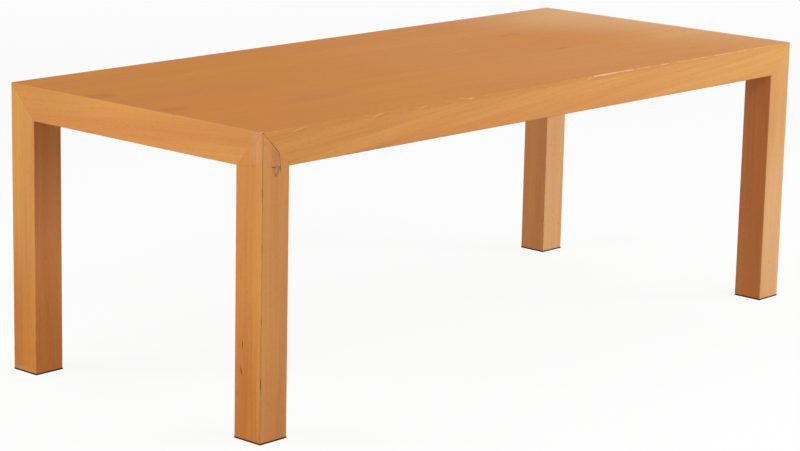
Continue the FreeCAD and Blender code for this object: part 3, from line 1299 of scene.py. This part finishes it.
@dataclass
class VeneeredBoard:
    """One board of the shell, copied from its solid with its show edges softened.

    Attributes:
        node: Name of the solid.
        finish: Finish of the show face, which also says how the board faces.
        back: Material of the faces that don't show from outside.
        softening_mm: How far sanding has rounded the edges of the show face.
    """

    node: str
    finish: LacqueredOak
    back: bpy.types.Material
    softening_mm: float = 0.45

    SLOT = "lacquered_oak"
    # Angles below which two faces are one flat, and above which an edge is sharp
    FLAT = math.radians(0.5)
    SHARP = math.radians(20)
    # Cosines that sort the faces: the flat show face, the end of its rounding, the end of the veneer,
    # and a face that is turned down
    SHOW_FACE = 0.999
    ROUNDED = 0.99
    VENEERED = 0.2
    UNDERSIDE = 0.9

    def build(self) -> bpy.types.Object:
        """Copy the solid's mesh, soften it, sort its faces into show and back, and dress it.

        Returns:
            The board.
        """
        outward = self.finish.outward
        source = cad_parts[self.node].data
        mesh = bpy.data.meshes.new(self.node)
        mesh.from_pydata(
            [vertex.co for vertex in source.vertices],
            [],
            [list(polygon.vertices) for polygon in source.polygons],
        )
        shape = bmesh.new()
        shape.from_mesh(mesh)
        bpy.data.meshes.remove(mesh)
        bmesh.ops.remove_doubles(shape, verts=shape.verts, dist=WELD)
        bmesh.ops.dissolve_limit(shape, angle_limit=self.FLAT, verts=shape.verts, edges=shape.edges)
        edges = dict.fromkeys(
            edge
            for face in shape.faces
            if face.normal.dot(outward) > self.SHOW_FACE
            for edge in face.edges
            if len(edge.link_faces) == 2 and edge.calc_face_angle() > self.SHARP
        )
        soften(shape, edges, self.softening_mm)
        shape.normal_update()
        rub = shape.faces.layers.float.new(RUB_LAYER)
        for face in shape.faces:
            facing = face.normal.dot(outward)
            underneath = face.normal.z < -self.UNDERSIDE and "apron" in self.node
            face.material_index = 0 if facing > self.VENEERED or underneath else 1
            face[rub] = 1.0 if self.VENEERED < facing < self.ROUNDED else 0.0
        piece = place_mesh(f"{self.node}_veneered", shape)
        self.dress(piece)
        return piece

    def dress(self, piece: bpy.types.Object) -> None:
        """Give the board its finish and let it stand for its solid."""
        join_table(piece, (self.finish.material(), self.back), self.SLOT, self.node)


@dataclass
class TableTop:
    """The top panel.

    Attributes:
        back: Material of the underside.
        marks: Marks of the boards, by the names of their solids.
        tone: Colours of its veneer.
        slope_deg: How far its figure runs off the table's length.
        seed: Shift of its figure in metres.
        node: Name of its solid.
    """

    back: bpy.types.Material
    marks: dict[str, tuple[Mark, ...]]
    tone: Tone = OAK_TOP
    slope_deg: float = -1.5
    seed: float = 3.1
    node: str = "top_panel"

    def build(self) -> dict[str, bpy.types.Object]:
        """Make and dress the panel.

        Returns:
            The panel by the name of its solid.
        """
        finish = LacqueredOak(
            "oak_veneer_lacquered_top",
            Grain.LENGTHWISE,
            UP,
            self.tone,
            self.seed,
            self.marks.get(self.node, ()),
            self.slope_deg,
        )
        return {self.node: VeneeredBoard(self.node, finish, self.back).build()}


@dataclass
class ApronFrame:
    """The four aprons, folded down from the top.

    Attributes:
        back: Material of the inner faces.
        marks: Marks of the boards, by the names of their solids.
        slope_deg: How far the figure runs off an apron's length.
        seed: Shift in metres of the front apron's figure.
        seed_step: Further shift from each apron to the next.
    """

    back: bpy.types.Material
    marks: dict[str, tuple[Mark, ...]]
    slope_deg: float = 4.5
    seed: float = 5.3
    seed_step: float = 1.9

    def build(self) -> dict[str, bpy.types.Object]:
        """Make and dress the aprons.

        Returns:
            The aprons by the names of their solids.
        """
        pieces = {}
        for number, side in enumerate(Side):
            node = f"{side.label}_apron"
            finish = LacqueredOak(
                f"oak_veneer_lacquered_{node}",
                Grain.LENGTHWISE if side in (Side.FRONT, Side.BACK) else Grain.CROSSWISE,
                side.outward,
                OAK_CLEAR if side is Side.LEFT else OAK,
                self.seed + self.seed_step * number,
                self.marks.get(node, ()),
                self.slope_deg,
            )
            pieces[node] = VeneeredBoard(node, finish, self.back).build()
        return pieces


@dataclass
class Leg:
    """A box leg of four mitred boards on a rubber pad.

    Attributes:
        corner: Corner of the table that it stands at.
        back: Material of the faces inside the leg.
        rubber: Material of the pad.
        marks: Marks of the boards, by the names of their solids.
        tones: Colours of the boards that differ from the rest, in tone or as painted sheen.
        pad_rounding_mm: How far the edges of the pad are rounded.
        seed: Shift in metres of the first leg's figure.
        seed_steps: Further shift from each leg to the next, and from each board to the next.
    """

    corner: Corner
    back: bpy.types.Material
    rubber: bpy.types.Material
    marks: dict[str, tuple[Mark, ...]]
    tones: dict[Side, Tone]
    pad_rounding_mm: float = 0.4
    seed: float = 11.0
    seed_steps: tuple[float, float] = (7.0, 1.7)

    def build(self) -> dict[str, bpy.types.Object]:
        """Make and dress the four boards and the pad.

        Returns:
            The boards by the names of their solids.
        """
        pieces = {}
        leg_step, board_step = self.seed_steps
        start = self.seed + leg_step * list(Corner).index(self.corner)
        for number, side in enumerate(Side):
            node = self.corner.board(side)
            finish = LacqueredOak(
                f"oak_veneer_lacquered_{node}",
                Grain.UPRIGHT,
                side.outward,
                self.tones.get(side, OAK),
                start + board_step * number,
                self.marks.get(node, ()),
            )
            pieces[node] = VeneeredBoard(node, finish, self.back).build()
        self.build_pad()
        return pieces

    def build_pad(self) -> None:
        """Make and dress the pad, with rounded edges."""
        node = f"{self.corner.label}_foot_pad"
        low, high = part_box(node)
        shape = bmesh.new()
        bmesh.ops.create_cube(shape, size=1.0)
        middle = Matrix.Translation((low + high) / 2)
        shape.transform(middle @ Matrix.Diagonal((*(high - low), 1.0)))
        soften(shape, shape.edges, self.pad_rounding_mm)
        join_table(place_mesh(f"{node}_rounded", shape), (self.rubber,), "foot_pad", node)


@dataclass
class UnderFrame:
    """Blocks, battens and splines that hold the shell together from inside.

    Attributes:
        batten_nodes: Names of the battens' solids.
        roughness: Roughness of the planed poplar.
        seed: Shift of its figure in metres.
    """

    batten_nodes: tuple[str, ...] = ("left_batten", "middle_batten", "right_batten")
    roughness: float = 0.7
    seed: float = 2.0

    def dress(self) -> None:
        """Give every hidden or half-hidden solid its wood."""
        poplar = {}
        for grain in Grain:
            name = f"poplar_planed_{grain.name.lower()}"
            poplar[grain] = BareWood(name, grain, POPLAR, self.roughness, self.seed).material()
        ply = BirchPly().material()
        nodes = {name: poplar[Grain.CROSSWISE] for name in self.batten_nodes}
        nodes["long_glue_blocks"] = poplar[Grain.LENGTHWISE]
        nodes["end_glue_blocks"] = poplar[Grain.CROSSWISE]
        for corner in Corner:
            across, forward = corner.value
            run = Grain.COUNTER_DIAGONAL if across == forward else Grain.DIAGONAL
            nodes[f"{corner.label}_corner_block"] = poplar[run]
            nodes[f"{corner.label}_leg_head_block"] = poplar[Grain.UPRIGHT]
            nodes[f"{corner.label}_leg_foot_plug"] = poplar[Grain.UPRIGHT]
            nodes[f"{corner.label}_leg_splines"] = ply
        for side in Side:
            nodes[f"{side.label}_top_spline"] = ply
        for name, material in nodes.items():
            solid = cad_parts[name]
            solid.data.materials.clear()
            solid.data.materials.append(material)
            log.info("inner wood %s", name)


@dataclass
class Hardware:
    """Hanger bolts with washers and nuts, and the wood screws under the top.

    Attributes:
        shape: Sizes of the table.
        bolt_diameter_mm: Outer diameter of the thread.
        pitch_mm: Pitch of the thread.
        bolt_bite_mm: How deep the bolt runs into the leg.
        washer_mm: Outer diameter and thickness of a washer.
        washer_clear_mm: Room between bolt and washer.
        washer_soft_mm: How far the edges of a washer are taken off.
        nut_mm: Width over the flats and height of a nut.
        nut_grip_mm: How far the bore of a nut reaches into the thread.
        nut_soft_mm: How far the bore of a nut is chamfered.
        tail_mm: Thread that shows past the nut.
        head_mm: Diameter and height of a screw's pan head.
        lip_mm: Height of the upright rim of a pan head.
        screw_inset_mm: Distance of a block screw from the end of the block's face.
        block_rows: Heights of bolts and screws as shares of the block's height.
        batten_screws_mm: Places of the batten screws from the table's middle.
    """

    shape: TableShape
    bolt_diameter_mm: float = 8.0
    pitch_mm: float = 1.25
    bolt_bite_mm: float = 32.0
    washer_mm: tuple[float, float] = (16.0, 1.6)
    washer_clear_mm: float = 0.3
    washer_soft_mm: float = 0.3
    nut_mm: tuple[float, float] = (13.0, 6.8)
    nut_grip_mm: float = 0.2
    nut_soft_mm: float = 0.6
    tail_mm: float = 6.0
    head_mm: tuple[float, float] = (8.0, 2.6)
    lip_mm: float = 0.5
    screw_inset_mm: float = 26.0
    block_rows: tuple[float, float] = (0.25, 0.75)
    batten_screws_mm: tuple[float, ...] = (-350.0, -130.0, 130.0, 350.0)

    # Points round a thread, round a washer or nut, and round a screw head
    THREAD_POINTS = 24
    ROUND_POINTS = 48
    HEAD_POINTS = 32
    # Depth of a thread as a share of its pitch
    THREAD_DEPTH = 0.61
    # Round flat on a nut's end as a share of the width over its flats, and the slope beyond it
    NUT_DISC = 0.97
    NUT_CHAMFER = math.tan(math.radians(30))
    # Foot of a pan head as a share of its width, and how far round its crown the rings are
    HEAD_FOOT = 0.94
    CROWN = (0.35, 0.6, 0.8, 0.93)
    # Half length and thickness in millimetres of the recess' blades at their tip and above the head,
    # with the height of the tip and how far they stand above the head
    BLADE_TIP = (0.9, 0.5)
    BLADE_TOP = (2.4, 0.9)
    BLADE_HEIGHTS = (0.7, 1.0)

    def thread(self, long_mm: float) -> bmesh.types.BMesh:
        """A rod with a real helical thread along +Z.

        Args:
            long_mm: Length of the rod.

        Returns:
            The rod, from the origin up.
        """
        crest = self.bolt_diameter_mm / 2
        root = crest - self.THREAD_DEPTH * self.pitch_mm
        # Up one flank, along the crest and down the other, as shares of the pitch
        section = ((0.0, root), (0.42, crest), (0.5, crest), (0.92, root))
        steps = (math.ceil(long_mm / self.pitch_mm) + 1) * self.THREAD_POINTS
        shape = bmesh.new()
        rows = []
        for step in range(steps + 1):
            angle = math.tau * step / self.THREAD_POINTS
            row = []
            for level, radius in section:
                height = (step / self.THREAD_POINTS + level - 1.0) * self.pitch_mm
                height = min(max(height, 0.0), long_mm)
                point = Vector((radius * math.cos(angle), radius * math.sin(angle), height))
                row.append(shape.verts.new(point * MM))
            rows.append(row)
        for step, (first, second) in enumerate(zip(rows, rows[1:])):
            for index in range(len(section) - 1):
                shape.faces.new((first[index], second[index], second[index + 1], first[index + 1]))
            # The root joins this turn to the one above it
            above = step + self.THREAD_POINTS
            if above < steps:
                shape.faces.new((first[-1], second[-1], rows[above + 1][0], rows[above][0]))
        for end in turned(((root, 0.0), (root, long_mm)), self.THREAD_POINTS):
            shape.faces.new([shape.verts.new(point) for point in end])
        bmesh.ops.remove_doubles(shape, verts=shape.verts, dist=WELD)
        bmesh.ops.dissolve_degenerate(shape, edges=shape.edges, dist=WELD)
        bmesh.ops.recalc_face_normals(shape, faces=shape.faces)
        return shape

    def washer(self) -> bmesh.types.BMesh:
        """A flat washer with softened edges.

        Returns:
            The washer, from the origin up.
        """
        wide, thick = self.washer_mm
        hole = self.bolt_diameter_mm / 2 + self.washer_clear_mm
        outer = wide / 2
        soft = self.washer_soft_mm
        profile = (
            (hole, 0.0), (outer - soft, 0.0), (outer, soft), (outer, thick - soft),
            (outer - soft, thick), (hole + soft, thick), (hole, thick - soft),
        )
        return loft(turned(profile, self.ROUND_POINTS), closed_ends=False)

    def nut(self) -> bmesh.types.BMesh:
        """A hexagon nut with chamfered corners and bore.

        Returns:
            The nut, from the origin up.
        """
        flat = self.nut_mm[0] / 2
        tall = self.nut_mm[1]
        bore = self.bolt_diameter_mm / 2 - self.nut_grip_mm
        mouth = bore + self.nut_soft_mm
        disc = flat * self.NUT_DISC
        slope = self.NUT_CHAMFER
        # Radius, with None where it follows the hexagon, then height and the slope outside the disc
        profile = (
            (mouth, 0.0, 0.0), (disc, 0.0, 0.0), (None, 0.0, slope), (None, tall, -slope),
            (disc, tall, 0.0), (mouth, tall, 0.0), (bore, tall - self.nut_soft_mm, 0.0),
            (bore, self.nut_soft_mm, 0.0),
        )
        rings = []
        for radius, height, lean in profile:
            ring = []
            for index in range(self.ROUND_POINTS):
                angle = math.tau * index / self.ROUND_POINTS
                off_flat = (angle + math.pi / 6) % (math.pi / 3) - math.pi / 6
                reach = flat / math.cos(off_flat)
                out = reach if radius is None else radius
                rise = height + lean * (reach - disc)
                ring.append(Vector((out * math.cos(angle), out * math.sin(angle), rise)) * MM)
            rings.append(ring)
        return loft(rings, closed_ends=False)

    def screw_head(self) -> bmesh.types.BMesh:
        """A pan head with a cross recess.

        Returns:
            The head, from the origin up.
        """
        wide, tall = self.head_mm
        rim = wide / 2
        profile = [(rim * self.HEAD_FOOT, 0.0), (rim, self.lip_mm)]
        for share in self.CROWN:
            angle = share * math.pi / 2
            profile.append((rim * math.cos(angle), self.lip_mm + (tall - self.lip_mm) * math.sin(angle)))
        head = place_mesh("screw_head", loft(turned(profile, self.HEAD_POINTS)))
        tip, proud = self.BLADE_HEIGHTS
        rings = []
        for height, (half_long, thick) in ((tip, self.BLADE_TIP), (tall + proud, self.BLADE_TOP)):
            square = ((-1, -1), (1, -1), (1, 1), (-1, 1))
            rings.append([Vector((x * half_long, y * thick / 2, height)) * MM for x, y in square])
        turns = [Matrix.Rotation(angle, 4, "Z") for angle in (0.0, math.pi / 2)]
        driver = place_mesh("driver", merge_copies(loft(rings), turns))
        carve(head, [driver], use_self=True)
        shape = bmesh.new()
        shape.from_mesh(head.data)
        for item in (head, driver):
            bpy.data.meshes.remove(item.data)
        return shape

    def seat(self) -> float:
        """Distance along a corner's diagonal of the corner block's inner face."""
        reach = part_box("front_left_corner_block")[1].x - self.shape.low.x
        return (reach + self.shape.board) / math.sqrt(2)

    def block_places(self, distance: float, ways: Sequence[int] = (0,)) -> list[Matrix]:
        """Transforms that lay +Z along the diagonals of the corners.

        Args:
            distance: Distance along the diagonal from the corner's outer point.
            ways: Places across the block: 0 for its middle, -1 and 1 for near its ends.

        Returns:
            A low and a high transform for each place of each corner.
        """
        places = []
        for corner in Corner:
            low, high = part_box(f"{corner.label}_corner_block")
            half_face = (high.x - low.x) / math.sqrt(2)
            aside = corner.inward.cross(UP) * (half_face - self.screw_inset_mm * MM)
            turn = corner.inward.to_track_quat("Z", "Y").to_matrix().to_4x4()
            for way in ways:
                for share in self.block_rows:
                    point = self.shape.corner(corner) + corner.inward * distance + aside * way
                    point.z = low.z + (high.z - low.z) * share
                    places.append(Matrix.Translation(point) @ turn)
        return places

    def batten_places(self, battens: Sequence[str]) -> list[Matrix]:
        """Transforms of the screws in the battens, heads down.

        Args:
            battens: Names of the batten solids.

        Returns:
            One transform for each screw.
        """
        places = []
        over = Matrix.Rotation(math.pi, 4, "X")
        for name in battens:
            low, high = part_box(name)
            for place in self.batten_screws_mm:
                point = Vector(((low.x + high.x) / 2, place * MM, low.z))
                places.append(Matrix.Translation(point) @ over)
        return places

    def build(self, battens: Sequence[str]) -> None:
        """Make and dress all the hardware, one piece for each kind.

        Args:
            battens: Names of the batten solids.
        """
        steel = ZincSteel().material()
        seat = self.seat()
        start = (self.shape.section - self.shape.board) * math.sqrt(2) - self.bolt_bite_mm * MM
        nut_seat = seat + self.washer_mm[1] * MM
        end = nut_seat + (self.nut_mm[1] + self.tail_mm) * MM
        bolt = self.thread((end - start) / MM)
        for name, pattern, places, node in (
            ("hanger_bolts_threaded", bolt, self.block_places(start), "hanger_bolts"),
            ("bolt_washers_softened", self.washer(), self.block_places(seat), "bolt_washers"),
            ("bolt_nuts_chamfered", self.nut(), self.block_places(nut_seat), "bolt_nuts"),
            ("corner_block_screws", self.screw_head(), self.block_places(seat, (-1, 1)), None),
            ("batten_screws", self.screw_head(), self.batten_places(battens), None),
        ):
            join_table(place_mesh(name, merge_copies(pattern, places)), (steel,), "zinc_steel", node)


# Studio

@dataclass(frozen=True)
class SoftBox:
    """A large soft lamp.

    Attributes:
        name: Name of the lamp.
        place: Where it hangs.
        aim: Point that it faces.
        size: Width and height of its face.
        watts: Power.
    """

    name: str
    place: tuple[float, float, float]
    aim: tuple[float, float, float]
    size: tuple[float, float]
    watts: float

    def hang(self) -> None:
        """Hang the lamp so that it lights the table and stays unseen."""
        light = bpy.data.lights.new(self.name, "AREA")
        light.shape = "RECTANGLE"
        light.size, light.size_y = self.size
        light.energy = self.watts
        lamp = bpy.data.objects.new(self.name, light)
        lamp.location = self.place
        lamp.rotation_euler = (Vector(self.aim) - Vector(self.place)).to_track_quat("-Z", "Y").to_euler()
        lamp.visible_camera = False
        bpy.context.scene.collection.objects.link(lamp)
        log.info("lamp %s", self.name)


@dataclass
class Studio:
    """A pale paper sweep, soft lamps and the camera.

    Attributes:
        lamps: The soft lamps.
        ambient: Strength of the even light from all round.
        sweep: Distance from the middle and height of each ring of the paper.
        sweep_points: Points in a ring of the paper.
        paper_seen: Colour of the sweep as the camera and reflections see it.
        paper_bounce: Colour of the sweep for the light that it throws back.
        paper_glow: Share of the sweep that shows as plain white, between two distances from the table's
            middle. The rest is lit paper, which keeps the table's shadow.
        camera_place: Where the camera stands.
        camera_turn_deg: Turn of the camera about X, Y and Z.
        focal_px: Focal length in pixels of the image.
        image_px: Width of the image in pixels.
        sensor_mm: Width of the camera's sensor.
        sight: How far the camera sees.
    """

    lamps: tuple[SoftBox, ...] = (
        SoftBox("left_softbox", (-4.0, 2.4, 2.6), (-0.6, 0.0, 0.5), (2.2, 1.6), 91.0),
        SoftBox("low_left_strip", (-5.5, -0.6, 0.7), (-0.2, 0.0, 0.4), (2.0, 0.8), 83.0),
        SoftBox("right_softbox", (4.6, -4.4, 2.0), (0.4, -0.3, 0.5), (2.4, 1.8), 113.0),
        SoftBox("low_right_softbox", (5.4, -4.2, 1.3), (0.4, -0.3, 0.45), (2.4, 1.4), 166.0),
        SoftBox("front_softbox", (0.3, -3.2, 3.6), (0.0, 0.0, 0.5), (3.6, 1.8), 85.0),
        SoftBox("over_right_softbox", (1.8, 0.8, 3.4), (0.4, 0.0, 0.7), (2.0, 1.6), 21.0),
        SoftBox("over_softbox", (-0.4, 0.4, 4.0), (-0.2, 0.0, 0.7), (3.0, 2.0), 18.0),
    )
    ambient: float = 0.2
    sweep: tuple[tuple[float, float], ...] = (
        (0.01, 0.0), (26.0, 0.0), (27.5, 0.3), (28.5, 1.1), (29.0, 2.4), (29.0, 5.5),
    )
    sweep_points: int = 96
    paper_seen: str = "#FAFAFA"
    paper_bounce: str = "#B4B3B1"
    paper_glow: Ramp = Ramp(2.0, 9.0, 0.9, 0.99)
    camera_place: tuple[float, float, float] = (-5.27397, -4.7397, 1.90002)
    camera_turn_deg: tuple[float, float, float] = (77.2476, -1.1953, -47.2888)
    focal_px: float = 2637.38
    image_px: float = 800.0
    sensor_mm: float = 36.0
    sight: float = 200.0

    WHITE = (1.0, 1.0, 1.0, 1.0)

    def build_sweep(self) -> None:
        """Lay the paper floor, which turns up far away and faces the table."""
        shape = bmesh.new()
        rings = []
        for radius, height in self.sweep:
            rings.append([shape.verts.new(point) for point in ring_of(radius, height, self.sweep_points)])
        shape.faces.new(rings[0])
        for inner, outer in zip(rings, rings[1:]):
            for index in range(self.sweep_points):
                after = (index + 1) % self.sweep_points
                shape.faces.new((inner[index], outer[index], outer[after], inner[after]))
        sweep = place_mesh("paper_sweep", shape)
        sweep.data.materials.append(self.paper_material())

    def paper_material(self) -> bpy.types.Material:
        """Matt white paper: white to the camera and in reflections, with the table's soft shadow.

        Returns:
            The material, which is clear from below.
        """
        material = node_material("paper_matt")
        tree = material.node_tree
        shown = add(tree, "LightPath", output="Is Camera Ray")
        rays = shown.node.outputs
        for kind in ("Is Glossy Ray", "Is Transmission Ray"):
            shown = add(tree, "Math", {0: shown, 1: rays[kind]}, operation="MAXIMUM")
        spot = add(tree, "TexCoord", output="Object")
        away = add(tree, "VectorMath", {0: spot}, "Value", operation="LENGTH")
        white = add(tree, "MapRange", self.paper_glow.of(away))
        share = add(tree, "Math", {0: shown, 1: white}, operation="MULTIPLY")
        mixed = {0: shown, 6: linear(self.paper_bounce), 7: linear(self.paper_seen)}
        lit = add(tree, "BsdfDiffuse", {"Color": add(tree, "Mix", mixed, 2, data_type="RGBA")})
        glow = add(tree, "Emission", {"Color": self.WHITE, "Strength": 1.0})
        face = add(tree, "MixShader", {0: share, 1: lit, 2: glow})
        below = add(tree, "NewGeometry", output="Backfacing")
        both = add(tree, "MixShader", {0: below, 1: face, 2: add(tree, "BsdfTransparent")})
        add(tree, "OutputMaterial", {"Surface": both})
        return material

    def light(self) -> None:
        """Hang the lamps and set the even light."""
        for lamp in self.lamps:
            lamp.hang()
        world = bpy.data.worlds.new("even_light")
        world.use_nodes = True
        world.node_tree.nodes.clear()
        sky = add(world.node_tree, "Background", {"Color": self.WHITE, "Strength": self.ambient})
        add(world.node_tree, "OutputWorld", {"Surface": sky})
        bpy.context.scene.world = world

    def stand_camera(self) -> None:
        """Stand the camera at the photograph's place."""
        data = bpy.data.cameras.new("photo_camera")
        data.sensor_width = self.sensor_mm
        data.lens = self.focal_px * self.sensor_mm / self.image_px
        data.clip_end = self.sight
        camera = bpy.data.objects.new("photo_camera", data)
        camera.location = self.camera_place
        camera.rotation_euler = [math.radians(angle) for angle in self.camera_turn_deg]
        bpy.context.scene.collection.objects.link(camera)
        bpy.context.scene.camera = camera

    def build(self) -> None:
        """Set the whole studio up."""
        self.build_sweep()
        self.light()
        self.stand_camera()
        bpy.context.scene.view_settings.view_transform = "Standard"


def main() -> None:
    """Build the table and the studio in order."""
    logging.basicConfig(level=logging.INFO, format="%(name)s: %(message)s")
    shape = TableShape.from_frame()
    marks = table_marks(shape)
    sanded = BareWood("oak_backing_veneer_sanded", Grain.LENGTHWISE, BACKING, roughness=0.65, seed=4.0)
    back = sanded.material()
    # Boards whose tone differs from the rest; the paler fronts of the right-end legs are painted sheen
    odd_tones_and_painted_sheen = {
        Corner.FRONT_LEFT: {Side.FRONT: OAK_DULL},
        Corner.FRONT_RIGHT: {Side.FRONT: OAK_PAINTED_SHEEN_PALE, Side.LEFT: OAK_RUSSET},
        Corner.BACK_RIGHT: {Side.FRONT: OAK_PAINTED_SHEEN_PALEST, Side.LEFT: OAK_GREYED},
        Corner.BACK_LEFT: {Side.FRONT: OAK_RED, Side.LEFT: OAK_BUFF},
    }
    pieces = TableTop(back, marks).build()
    pieces.update(ApronFrame(back, marks).build())
    rubber = HardRubber().material()
    for corner in Corner:
        pieces.update(Leg(corner, back, rubber, marks, odd_tones_and_painted_sheen[corner]).build())
    Wear(table_wear(shape)).cut(pieces)
    under = UnderFrame()
    under.dress()
    Hardware(shape).build(under.batten_nodes)
    Studio().build()


if __name__ == "__main__":
    main()
